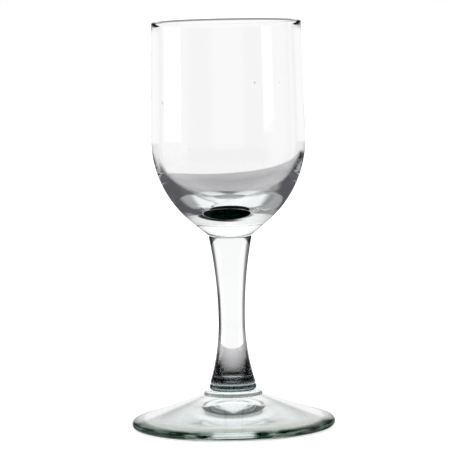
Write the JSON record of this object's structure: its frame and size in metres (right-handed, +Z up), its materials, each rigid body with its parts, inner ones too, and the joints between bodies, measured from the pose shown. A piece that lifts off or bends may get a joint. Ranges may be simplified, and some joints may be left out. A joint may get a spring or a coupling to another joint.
{
  "type": "liqueur glass",
  "caption": "Small stemmed glass with a tall round-bottomed bowl, a waisted solid stem, a collar and a sloping round foot, for a single serving of liqueur.",
  "frame": {"origin": "middle of the foot's underside, on the plane that the glass stands on", "axes": "+Z up along the axis of the glass, from the foot to the lip; X and Y are free, because the glass is round"},
  "size_m": [0.0502, 0.0502, 0.1],
  "materials": {
    "clear_glass": "clear soda-lime glass, fire-polished, faintly green where it is thick"
  },
  "bodies": {
    "root": {"bowl": "clear_glass", "stem": "clear_glass", "collar": "clear_glass", "foot": "clear_glass"}
  },
  "joints": []
}
